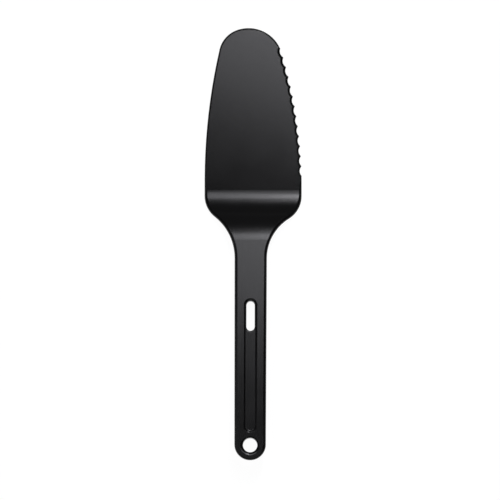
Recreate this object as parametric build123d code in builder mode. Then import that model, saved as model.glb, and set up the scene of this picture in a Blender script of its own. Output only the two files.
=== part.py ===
from build123d import *
from math import acos, asin, atan, cos, degrees, radians, sin, sqrt
import os

# Pastry server, lying as it is used: blade flat, serrated edge on the right, handle rising behind it.
# +Y runs to the tip, +X to the serrated edge, +Z up. The origin is under the middle of the whole part.
# All lengths are in millimetres and all angles in degrees.

# Plan view
overall_length = 280.9
blade_length = 105.3  # tip to where the blade turns up
blade_left_width = 30.15  # handle axis to the plain edge
blade_right_width = 32.95  # handle axis to the serrated edge
tip_radius = 22.5
tip_offset = 1.83  # the tip's circle stands this far to the left of the handle axis
tip_corner_radius = 17.6
tip_corner_lean = 21.25  # way from the tip's circle to the corner's, from straight ahead to the left
left_straight_length = 10.9  # shoulder to where the plain edge starts to curve in
right_straight_length = 5.1
shoulder_length = 3.8  # bend to the shoulder
shoulder_radius = 17.4
flare_share = 0.23  # of the handle's length, from the shoulder to the start of its plain sides
handle_width = 21.0
handle_end_width = 20.5

# Side view
blade_tip_thickness = 1.75
blade_root_thickness = 3.0
bend_radius = 25.5
riser_angle = 37.0
neck_radius = 33.5
handle_start_slope = 5.6
handle_end_slope = 3.6
handle_thickness = 9.0

# Edges
blade_top_round = 1.1
blade_bottom_chamfer = 0.3
handle_top_round = 1.9
handle_bottom_round = 1.0
edge_change_length = 6.0  # over this length the blade's fine edge grows into the handle's full one
edge_change_gap = 0.7  # from there to the bend

# Serration
tooth_pitch = 6.53
scallop_radius = 4.6
scallop_depth = 1.12
plain_edge_length = 9.1  # bend to the first tooth
plain_tip_length = 12.5  # last tooth to the tip, at least
bevel_depth = 1.0
bevel_front_width = 1.5
bevel_rear_width = 1.1
bevel_blend_radius = 0.9
bevel_blend_rise = 0.02  # the blend stops this much above the blade

# Slot, recess, pocket and hanging hole
slot_width = 5.4
slot_length = 19.4
slot_distance_share = 0.2124  # of the handle's length, start of the plain sides to the slot's middle
slot_rim_chamfer = 0.2
slot_bottom_chamfer = 0.5
recess_margin = 1.02  # round the slot
recess_depth = 1.9
recess_end_distance = 18.7  # recess to the handle's end
recess_rim_round = 0.75
recess_floor_round = 0.75
pocket_depth = 4.4
hole_diameter = 9.3
hole_end_distance = 10.0  # hole's middle to the handle's end
hole_top_round = 2.0
hole_bottom_chamfer = 0.6

# Insert
insert_clearance = 0.15
insert_horn_length = 0.9  # how far it reaches up beside the slot
insert_slot_round = 0.8
peg_diameter = 3.0
peg_length = 2.5
peg_clearance = 0.1
peg_reach_share = 0.35  # of the pocket's length, from its middle

# Ends of the cutters
cut_overrun = 5.0

# Places worked out from the sizes
tip_y = overall_length / 2
end_y = -overall_length / 2
axis_x = (blade_left_width - blade_right_width) / 2
left_x = axis_x - blade_left_width
right_x = axis_x + blade_right_width
bend_y = tip_y - blade_length
shoulder_y = bend_y - shoulder_length
handle_length = overall_length - blade_length
flare_y = shoulder_y - flare_share * handle_length
flat_y = bend_y + edge_change_gap + edge_change_length

# The handle's sides touch its round end and lean in towards it
half_handle = handle_width / 2
half_end = handle_end_width / 2
handle_end_centre = Vector(axis_x, end_y + half_end)
side_foot = Vector(half_handle, flare_y - handle_end_centre.Y)
side_lean = degrees(acos(half_end / side_foot.length) - atan(side_foot.Y / side_foot.X))


def outward(side):
    """Way out of the handle's right side (side 1) or left side (side -1)."""
    return Vector(side * cos(radians(side_lean)), -sin(radians(side_lean)))


def flare_radius(side, flare_start, shoulder_centre):
    """Radius of the arc that is tangent to the handle's side at flare_start and to the shoulder."""
    gap = flare_start - shoulder_centre
    return (gap.length**2 - shoulder_radius**2) / (2 * (shoulder_radius - gap.dot(outward(side))))


def bulge(centre, start, end):
    """The short arc round centre from start to end."""
    radius = (start - centre).length
    middle = centre + ((start - centre) + (end - centre)).normalized() * radius
    return ThreePointArc(start, middle, end)


def beyond(centre, other, radius):
    """The point of a circle round centre that lies towards other."""
    return centre + (other - centre).normalized() * radius


def side_radius(half_width, run, end_radius):
    """Radius of a side that starts parallel to the axis and is tangent to the circle at its far end."""
    return (half_width**2 + run**2 - end_radius**2) / (2 * (half_width - end_radius))


# Circle centres of the plan view
tip_centre = Vector(axis_x - tip_offset, tip_y - tip_radius)
corner_way = Vector(-sin(radians(tip_corner_lean)), cos(radians(tip_corner_lean)))
corner_centre = tip_centre + corner_way * (tip_radius - tip_corner_radius)
left_side_y = shoulder_y + left_straight_length
left_side_radius = side_radius(corner_centre.X - left_x, corner_centre.Y - left_side_y, tip_corner_radius)
left_side_centre = Vector(left_x + left_side_radius, left_side_y)
right_side_y = shoulder_y + right_straight_length
right_side_radius = side_radius(right_x - tip_centre.X, tip_centre.Y - right_side_y, tip_radius)
right_side_centre = Vector(right_x - right_side_radius, right_side_y)

# Teeth stand on the arc of the right side, counted from the bend towards the tip
first_tooth_rise = bend_y + plain_edge_length - right_side_y
last_tooth_rise = tip_y - plain_tip_length - right_side_y
first_tooth_angle = degrees(asin(first_tooth_rise / right_side_radius))
last_tooth_angle = degrees(asin(last_tooth_rise / right_side_radius))
tooth_angle = degrees(tooth_pitch / right_side_radius)
tooth_count = int((last_tooth_angle - first_tooth_angle) / tooth_angle)
scallop_reach = right_side_radius + scallop_radius - scallop_depth


def on_right_side(angle, radius):
    return right_side_centre + Vector(cos(radians(angle)), sin(radians(angle))) * radius


def slope_point(centre, radius, slope):
    """Point of a circle in the side view whose tangent falls towards the tip at this slope."""
    return centre + Vector(sin(radians(slope)), cos(radians(slope))) * radius


# Side view, as (y, z): every arc is drawn round one of these centres
blade_run = tip_y - flat_y
blade_drop = blade_root_thickness - blade_tip_thickness
blade_radius = (blade_run**2 + blade_drop**2) / (2 * blade_drop)
blade_centre = Vector(flat_y, blade_root_thickness - blade_radius)
bend_centre = Vector(bend_y, blade_root_thickness + bend_radius)
riser = slope_point(bend_centre, -bend_radius, riser_angle)
neck_centre = slope_point(riser, -neck_radius, riser_angle)
handle_start = slope_point(neck_centre, neck_radius, handle_start_slope)
slope_change = sin(radians(handle_start_slope)) - sin(radians(handle_end_slope))
handle_radius = (handle_start.X - end_y) / slope_change
handle_centre = slope_point(handle_start, -handle_radius, handle_start_slope)


def handle_slope(y):
    """Slope of the handle's upper face at this place along it."""
    return degrees(asin((y - handle_centre.X) / handle_radius))


def handle_plane(y, depth):
    """Plane parallel to the handle's upper face at y, this far below it."""
    slope = handle_slope(y)
    point = slope_point(handle_centre, handle_radius - depth, slope)
    normal = Vector(0, sin(radians(slope)), cos(radians(slope)))
    return Plane(origin=(axis_x, point.X, point.Y), x_dir=(1, 0, 0), z_dir=normal)


# Slot, recess and pocket share the plane that is parallel to the handle at the recess's middle
slot_y = flare_y - slot_distance_share * handle_length
recess_width = slot_width + 2 * recess_margin
recess_top_y = slot_y + slot_length / 2 + recess_margin
recess_length = recess_top_y - end_y - recess_end_distance
recess_y = recess_top_y - recess_length / 2
slot_place = slot_y - recess_y
pocket_top = slot_place - slot_length / 2 + insert_horn_length
pocket_length = pocket_top + recess_length / 2
pocket_place = pocket_top - pocket_length / 2
peg_reach = pocket_length * peg_reach_share
hole_y = end_y + hole_end_distance

# The under side of the riser is the tangent between its own two arcs
under_bend_radius = bend_radius + blade_root_thickness
under_neck_radius = neck_radius - handle_thickness
centre_way = bend_centre - neck_centre
centre_fall = degrees(atan(centre_way.Y / centre_way.X))
under_angle = degrees(asin((under_bend_radius + under_neck_radius) / centre_way.length)) - centre_fall

overall_height = slope_point(handle_centre, handle_radius, handle_end_slope).Y

# Both views, extruded into one another
with BuildPart() as blank:
    with BuildSketch(Plane.YZ) as side_view:
        with BuildLine():
            tip_overrun_y = tip_y + cut_overrun
            tip_slope = degrees(asin((tip_overrun_y - flat_y) / blade_radius))
            blade_front = slope_point(blade_centre, blade_radius, tip_slope)
            blade_back = Vector(flat_y, blade_root_thickness)
            bend_start = Vector(bend_y, blade_root_thickness)
            end_slope = handle_slope(end_y - cut_overrun)
            handle_end = slope_point(handle_centre, handle_radius, end_slope)
            bulge(blade_centre, blade_front, blade_back)
            Line(blade_back, bend_start)
            bulge(bend_centre, bend_start, riser)
            bulge(neck_centre, riser, handle_start)
            bulge(handle_centre, handle_start, handle_end)

            under_radius = handle_radius - handle_thickness
            under_end = slope_point(handle_centre, under_radius, end_slope)
            under_start = slope_point(handle_centre, under_radius, handle_start_slope)
            under_head = slope_point(neck_centre, under_neck_radius, under_angle)
            under_foot = slope_point(bend_centre, -under_bend_radius, under_angle)
            under_bend = Vector(bend_y, 0)
            Line(handle_end, under_end)
            bulge(handle_centre, under_end, under_start)
            bulge(neck_centre, under_start, under_head)
            Line(under_head, under_foot)
            bulge(bend_centre, under_foot, under_bend)
            Line(under_bend, Vector(tip_overrun_y, 0))
            Line(Vector(tip_overrun_y, 0), blade_front)
        make_face()
    extrude(amount=max(blade_left_width, blade_right_width) + cut_overrun, both=True)

    with BuildSketch(Plane.XY.offset(-cut_overrun)) as plan_view:
        with BuildLine():
            right_end = handle_end_centre + outward(1) * half_end
            left_end = handle_end_centre + outward(-1) * half_end
            ThreePointArc(left_end, Vector(axis_x, end_y), right_end)

            flare_start = Vector(axis_x + half_handle, flare_y)
            shoulder_centre = Vector(right_x - shoulder_radius, shoulder_y)
            right_flare = flare_radius(1, flare_start, shoulder_centre)
            flare_centre = flare_start + outward(1) * right_flare
            flare_end = beyond(flare_centre, shoulder_centre, right_flare)
            shoulder_end = Vector(right_x, shoulder_y)
            Line(right_end, flare_start)
            bulge(flare_centre, flare_start, flare_end)
            bulge(shoulder_centre, flare_end, shoulder_end)

            right_start = Vector(right_x, right_side_centre.Y)
            side_end = beyond(right_side_centre, tip_centre, right_side_radius)
            Line(shoulder_end, right_start)
            bulge(right_side_centre, right_start, side_end)

            corner_start = beyond(tip_centre, corner_centre, tip_radius)
            corner_end = beyond(left_side_centre, corner_centre, left_side_radius)
            left_start = Vector(left_x, left_side_centre.Y)
            bulge(tip_centre, side_end, corner_start)
            bulge(corner_centre, corner_start, corner_end)
            bulge(left_side_centre, corner_end, left_start)

            flare_end = Vector(axis_x - half_handle, flare_y)
            shoulder_centre = Vector(left_x + shoulder_radius, shoulder_y)
            left_flare = flare_radius(-1, flare_end, shoulder_centre)
            flare_centre = flare_end + outward(-1) * left_flare
            flare_start = beyond(flare_centre, shoulder_centre, left_flare)
            shoulder_start = Vector(left_x, shoulder_y)
            Line(left_start, shoulder_start)
            bulge(shoulder_centre, shoulder_start, flare_start)
            bulge(flare_centre, flare_start, flare_end)
            Line(flare_end, left_end)
        make_face()
    extrude(amount=overall_height + 2 * cut_overrun, mode=Mode.INTERSECT)


def across_plane(y):
    return Plane(origin=(0, y, 0), x_dir=(1, 0, 0), z_dir=(0, -1, 0))


def outline_edges(part, side):
    """Edges round the upper (side 1) or the under (side -1) faces, without the seams between them."""
    faces = part.faces().filter_by(lambda face: round(face.normal_at().Z * side, 2) > 0)
    return faces.edges().filter_by(Axis.X, reverse=True)


# Fine edges on the blade
with BuildPart() as front:
    add(blank.part)
    split(bisect_by=across_plane(flat_y), keep=Keep.BOTTOM)
    fillet(outline_edges(front.part, 1), blade_top_round)
    chamfer(outline_edges(front.part, -1), blade_bottom_chamfer)

# Full edges on the shoulders, neck and handle
with BuildPart() as rear:
    add(blank.part)
    split(bisect_by=across_plane(bend_y + edge_change_gap), keep=Keep.TOP)
    fillet(outline_edges(rear.part, 1), handle_top_round)
    fillet(outline_edges(rear.part, -1), handle_bottom_round)


def scallop_profile(thickness, bevel_width):
    """Half section of one scallop cutter: wall, bevel and the soft blend into the blade's face."""
    bevel_length = sqrt(bevel_depth**2 + bevel_width**2)
    blend_down = bevel_blend_rise - bevel_blend_radius
    touch_y = blend_down + bevel_blend_radius * bevel_width / bevel_length
    touch_x = scallop_radius + (touch_y + bevel_depth) * bevel_width / bevel_depth
    crest_x = touch_x + bevel_blend_radius * bevel_depth / bevel_length
    with BuildLine() as profile:
        Polyline(
            (crest_x, bevel_blend_rise),
            (crest_x, cut_overrun),
            (0, cut_overrun),
            (0, -thickness - cut_overrun),
            (scallop_radius, -thickness - cut_overrun),
            (scallop_radius, -bevel_depth),
            (touch_x, touch_y),
        )
        bulge(Vector(crest_x, blend_down), Vector(touch_x, touch_y), Vector(crest_x, bevel_blend_rise))
    return profile.line


def recess_plane(depth):
    return handle_plane(recess_y, depth)


def pocket_outline(inset):
    """Long outline, square at the slot and round at the other end, this far inside the pocket's walls."""
    with Locations((0, pocket_top - inset)):
        length = pocket_length - recess_width / 2 - inset
        Rectangle(recess_width - 2 * inset, length, align=(Align.CENTER, Align.MAX))
    with Locations((0, recess_width / 2 - recess_length / 2)):
        Circle(recess_width / 2 - inset)


def slot_outline():
    with Locations((0, slot_place)):
        SlotOverall(slot_length, slot_width, rotation=90)


def peg_outline(clearance):
    with Locations((0, pocket_place + peg_reach), (0, pocket_place - peg_reach)):
        Circle(peg_diameter / 2 + clearance)


def opening_rims(builder, depth):
    """Rims of the hole and of the recess or slot in the handle's upper face, or under face."""
    probe = recess_plane(depth).from_local_coords(Vector((recess_width + handle_width) / 4, 0))
    return builder.faces().sort_by_distance(probe)[0].inner_wires().sort_by(SortBy.LENGTH)


# The space of the recess with the slot below it, soft where wall meets floor and floor meets slot
with BuildPart() as opening:
    with BuildSketch(recess_plane(recess_depth)):
        SlotOverall(recess_length, recess_width, rotation=90)
    extrude(amount=recess_depth + cut_overrun)
    fillet(opening.faces().sort_by(Axis.Z)[0].edges(), recess_floor_round)
    with BuildSketch(recess_plane(recess_depth)):
        slot_outline()
    extrude(amount=-handle_thickness - cut_overrun)
    floor_edges = opening.faces().sort_by_distance(recess_plane(recess_depth).origin)[0].inner_wires()[0]
    chamfer(floor_edges.edges(), slot_rim_chamfer)

with BuildPart() as blade_and_handle:
    add(rear.part)
    add(front.part)
    loft([rear.faces().sort_by(Axis.Y)[-1], front.faces().sort_by(Axis.Y)[0]], ruled=True)

    # Serrated edge
    for tooth in range(tooth_count):
        centre = on_right_side(first_tooth_angle + (tooth + 1 / 2) * tooth_angle, scallop_reach)
        slope = degrees(asin((centre.Y - flat_y) / blade_radius))
        top = slope_point(blade_centre, blade_radius, slope)
        up = Vector(0, sin(radians(slope)), cos(radians(slope)))
        bevel_share = tooth / (tooth_count - 1)
        bevel_width = bevel_rear_width + (bevel_front_width - bevel_rear_width) * bevel_share
        place = Plane(origin=(centre.X, top.X, top.Y), x_dir=(1, 0, 0), z_dir=up.cross(Vector(-1, 0, 0)))
        with BuildSketch(place):
            add(scallop_profile(top.Y, bevel_width))
            make_face()
        revolve(axis=Axis(place.origin, up), mode=Mode.SUBTRACT)

    # Pocket, recess and slot
    with BuildSketch(recess_plane(pocket_depth)):
        pocket_outline(0)
    extrude(amount=pocket_depth + cut_overrun, mode=Mode.SUBTRACT)
    add(opening.part, mode=Mode.SUBTRACT)

    # Hanging hole
    with BuildSketch(handle_plane(hole_y, handle_thickness / 2)):
        Circle(hole_diameter / 2)
    extrude(amount=handle_thickness / 2 + cut_overrun, both=True, mode=Mode.SUBTRACT)

    # Rims, above and below
    fillet(opening_rims(blade_and_handle, 0)[-1].edges(), recess_rim_round)
    fillet(opening_rims(blade_and_handle, 0)[0].edges(), hole_top_round)
    chamfer(opening_rims(blade_and_handle, handle_thickness)[-1].edges(), slot_bottom_chamfer)
    chamfer(opening_rims(blade_and_handle, handle_thickness)[0].edges(), hole_bottom_chamfer)

    # Sockets for the insert's pegs
    with BuildSketch(recess_plane(pocket_depth)):
        peg_outline(peg_clearance)
    extrude(amount=-peg_length - peg_clearance, mode=Mode.SUBTRACT)

# Insert, the floor of the recess: its edges curl up to the pocket's walls
with BuildPart() as recess:
    with BuildSketch(recess_plane(recess_depth)):
        SlotOverall(recess_length, recess_width, rotation=90)
    extrude(amount=recess_depth + cut_overrun)
    fillet(recess.faces().sort_by(Axis.Z)[0].edges(), recess_floor_round)

with BuildPart() as handle_insert:
    with BuildSketch(recess_plane(pocket_depth)):
        pocket_outline(insert_clearance)
    extrude(amount=pocket_depth)
    add(recess.part, mode=Mode.SUBTRACT)
    with BuildSketch(recess_plane(pocket_depth)):
        slot_outline()
    extrude(amount=pocket_depth, mode=Mode.SUBTRACT)
    slot_wall = handle_insert.faces().filter_by(GeomType.CYLINDER).sort_by(Axis.Y)[-1]
    fillet(slot_wall.edges().sort_by(Axis.Z)[-1], insert_slot_round)
    with BuildSketch(recess_plane(pocket_depth)):
        peg_outline(0)
    extrude(amount=-peg_length)

os.makedirs("parts", exist_ok=True)
blade_and_handle.part.label = "blade_and_handle"
export_step(blade_and_handle.part, "parts/blade_and_handle.step")
handle_insert.part.label = "handle_insert"
export_step(handle_insert.part, "parts/handle_insert.step")
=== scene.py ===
from math import pi, radians

import bpy
import bmesh
from mathutils import Matrix, Vector

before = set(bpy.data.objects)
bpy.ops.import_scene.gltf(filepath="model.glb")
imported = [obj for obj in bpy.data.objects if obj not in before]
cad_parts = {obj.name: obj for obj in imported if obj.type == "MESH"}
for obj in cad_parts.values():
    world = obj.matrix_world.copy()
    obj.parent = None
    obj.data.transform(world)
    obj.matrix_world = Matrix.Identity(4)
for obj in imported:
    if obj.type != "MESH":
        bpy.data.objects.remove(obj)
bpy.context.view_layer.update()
print("loaded", ", ".join(sorted(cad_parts)))

# satin black nylon, as it leaves the mould
nylon = {
    "colour": (0.0015, 0.0015, 0.0016, 1),
    "specularLevel": 0.25,  # 0.5 reflects 4 percent head-on, this 2
    "roughness": 0.182,
    "roughnessSpread": 0.03,
    "cloudScale": 45,  # slow drift of the sheen, per metre
    "cloudDetail": 2,
    "grainScale": 5200,  # fine spark texture of the mould, per metre
    "grainDetail": 3,
    "grainStrength": 1,
    "grainHeight": 0.000002,
}


def nylonMaterial(name, look):
    material = bpy.data.materials.new(name)
    material.use_nodes = True
    nodes, links = material.node_tree.nodes, material.node_tree.links
    shader = nodes["Principled BSDF"]
    shader.inputs["Base Color"].default_value = look["colour"]
    shader.inputs["Specular IOR Level"].default_value = look["specularLevel"]
    place = nodes.new("ShaderNodeTexCoord")

    cloud = nodes.new("ShaderNodeTexNoise")
    cloud.inputs["Scale"].default_value = look["cloudScale"]
    cloud.inputs["Detail"].default_value = look["cloudDetail"]
    sheen = nodes.new("ShaderNodeMapRange")
    sheen.inputs["To Min"].default_value = look["roughness"] - look["roughnessSpread"]
    sheen.inputs["To Max"].default_value = look["roughness"] + look["roughnessSpread"]
    links.new(place.outputs["Object"], cloud.inputs["Vector"])
    links.new(cloud.outputs["Fac"], sheen.inputs["Value"])
    links.new(sheen.outputs["Result"], shader.inputs["Roughness"])

    grain = nodes.new("ShaderNodeTexNoise")
    grain.inputs["Scale"].default_value = look["grainScale"]
    grain.inputs["Detail"].default_value = look["grainDetail"]
    bump = nodes.new("ShaderNodeBump")
    bump.inputs["Strength"].default_value = look["grainStrength"]
    bump.inputs["Distance"].default_value = look["grainHeight"]
    links.new(place.outputs["Object"], grain.inputs["Vector"])
    links.new(grain.outputs["Fac"], bump.inputs["Height"])
    links.new(bump.outputs["Normal"], shader.inputs["Normal"])
    return material


mouldedNylon = nylonMaterial("mouldedNylon", nylon)
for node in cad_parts.values():
    node.data.materials.clear()
    node.data.materials.append(mouldedNylon)
print("nylon on", len(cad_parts), "pieces")

# white paper on the table, and a lower sheet for views that pass under its edge
tableTop = {
    "size": 80.0,
    "lowerSheet": -0.6,
    "colour": (0.8, 0.8, 0.8, 1),
    "roughness": 0.9,
    "white": 1.06,
    "whiteShare": 0.9,  # the rest keeps the shadow
}


def paperMaterial(name, look):
    material = bpy.data.materials.new(name)
    material.use_nodes = True
    nodes, links = material.node_tree.nodes, material.node_tree.links
    paper = nodes["Principled BSDF"]
    paper.inputs["Base Color"].default_value = look["colour"]
    paper.inputs["Roughness"].default_value = look["roughness"]
    glow = nodes.new("ShaderNodeEmission")
    glow.inputs["Strength"].default_value = look["white"]

    # white for the camera and in reflections, plain lit paper for the rest
    rays = nodes.new("ShaderNodeLightPath")
    seenOrMirrored = nodes.new("ShaderNodeMath")
    seenOrMirrored.operation = "MAXIMUM"
    anySight = nodes.new("ShaderNodeMath")
    anySight.operation = "MAXIMUM"
    share = nodes.new("ShaderNodeMath")
    share.operation = "MULTIPLY"
    share.inputs[1].default_value = look["whiteShare"]
    pick = nodes.new("ShaderNodeMixShader")
    links.new(rays.outputs["Is Camera Ray"], seenOrMirrored.inputs[0])
    links.new(rays.outputs["Is Glossy Ray"], seenOrMirrored.inputs[1])
    links.new(seenOrMirrored.outputs["Value"], anySight.inputs[0])
    links.new(rays.outputs["Is Transmission Ray"], anySight.inputs[1])
    links.new(anySight.outputs["Value"], share.inputs[0])
    links.new(share.outputs["Value"], pick.inputs["Fac"])
    links.new(paper.outputs["BSDF"], pick.inputs[1])
    links.new(glow.outputs["Emission"], pick.inputs[2])
    links.new(pick.outputs["Shader"], nodes["Material Output"].inputs["Surface"])
    return material


def addSheet(name, height, size, material):
    bm = bmesh.new()
    bmesh.ops.create_grid(bm, x_segments=1, y_segments=1, size=size / 2)
    sheetMesh = bpy.data.meshes.new(name)
    bm.to_mesh(sheetMesh)
    bm.free()
    sheetMesh.materials.append(material)
    sheet = bpy.data.objects.new(name, sheetMesh)
    sheet.location.z = height
    bpy.context.scene.collection.objects.link(sheet)


tablePaper = paperMaterial("tablePaper", tableTop)
addSheet("tableTop", 0, tableTop["size"], tablePaper)
addSheet("lowerSheet", tableTop["lowerSheet"], tableTop["size"], tablePaper)
print("paper laid")

# two softboxes beyond the tip and a wide weak panel at each end, in degrees and metres
aim = (0, 0.02, 0)
daylight = (0.99, 0.99, 1.04)
topSoftbox = {
    "azimuth": -2.6,  # from +Y towards +X
    "fromVertical": 15.8,
    "distance": 0.954,
    "spin": -33.9,
    "width": 0.613,
    "length": 0.279,
    "radiance": 4.23,
}
rightSoftbox = {
    "azimuth": 15.8,
    "fromVertical": 25.2,
    "distance": 0.754,
    "spin": 7.4,
    "width": 0.06,
    "length": 0.273,
    "radiance": 34.3,
}
frontPanel = {
    "azimuth": -0.2,
    "fromVertical": 57.9,
    "distance": 0.428,
    "spin": -0.7,
    "width": 1.196,
    "length": 0.41,
    "radiance": 0.157,
}
backPanel = {
    "azimuth": 205.0,
    "fromVertical": 34.4,
    "distance": 0.506,
    "spin": 3.7,
    "width": 1.05,
    "length": 0.506,
    "radiance": 0.532,
}


def addSoftbox(name, look):
    lamp = bpy.data.lights.new(name, "AREA")
    lamp.shape = "RECTANGLE"
    lamp.size = look["width"]
    lamp.size_y = look["length"]
    lamp.energy = look["radiance"] * look["width"] * look["length"] * pi
    lamp.color = daylight
    softbox = bpy.data.objects.new(name, lamp)
    heading = Matrix.Rotation(radians(-look["azimuth"]), 3, "Z")
    tilt = Matrix.Rotation(radians(-look["fromVertical"]), 3, "X")
    spin = Matrix.Rotation(radians(look["spin"]), 3, "Z")
    outward = heading @ tilt
    place = Vector(aim) + outward @ Vector((0, 0, look["distance"]))
    softbox.matrix_world = Matrix.Translation(place) @ (outward @ spin).to_4x4()
    softbox.visible_camera = False
    bpy.context.scene.collection.objects.link(softbox)


addSoftbox("topSoftbox", topSoftbox)
addSoftbox("rightSoftbox", rightSoftbox)
addSoftbox("frontPanel", frontPanel)
addSoftbox("backPanel", backPanel)

# dim room, its walls a little brighter than its ceiling
room = {
    "colour": (1, 1, 1, 1),
    "wallStrength": 0.4,
    "wallTop": 0.12,  # sine of the angle above the horizon, as is ceilingStart
    "ceilingStart": 0.34,
    "ceilingStrength": 0.065,
}


def roomWorld(name, look):
    world = bpy.data.worlds.new(name)
    world.use_nodes = True
    nodes, links = world.node_tree.nodes, world.node_tree.links
    walls = nodes["Background"]
    walls.inputs["Color"].default_value = look["colour"]
    direction = nodes.new("ShaderNodeTexCoord")
    axes = nodes.new("ShaderNodeSeparateXYZ")
    fade = nodes.new("ShaderNodeMapRange")
    fade.interpolation_type = "SMOOTHSTEP"
    fade.inputs["From Min"].default_value = look["wallTop"]
    fade.inputs["From Max"].default_value = look["ceilingStart"]
    fade.inputs["To Min"].default_value = look["wallStrength"]
    fade.inputs["To Max"].default_value = look["ceilingStrength"]
    links.new(direction.outputs["Generated"], axes.inputs["Vector"])
    links.new(axes.outputs["Z"], fade.inputs["Value"])
    links.new(fade.outputs["Result"], walls.inputs["Strength"])
    return world


bpy.context.scene.world = roomWorld("room", room)
print("light set")

# straight down, as the photograph was taken
view = {
    "centre": (-0.001905, -0.00379),
    "height": 1.2,
    "width": 0.325,
    "roll": 0.195,
}
cameraData = bpy.data.cameras.new("camera")
cameraData.type = "ORTHO"
cameraData.ortho_scale = view["width"]
camera = bpy.data.objects.new("camera", cameraData)
camera.location = (*view["centre"], view["height"])
camera.rotation_euler = (0, 0, radians(view["roll"]))
bpy.context.scene.collection.objects.link(camera)
bpy.context.scene.camera = camera
bpy.context.scene.view_settings.view_transform = "Standard"
print("camera set")
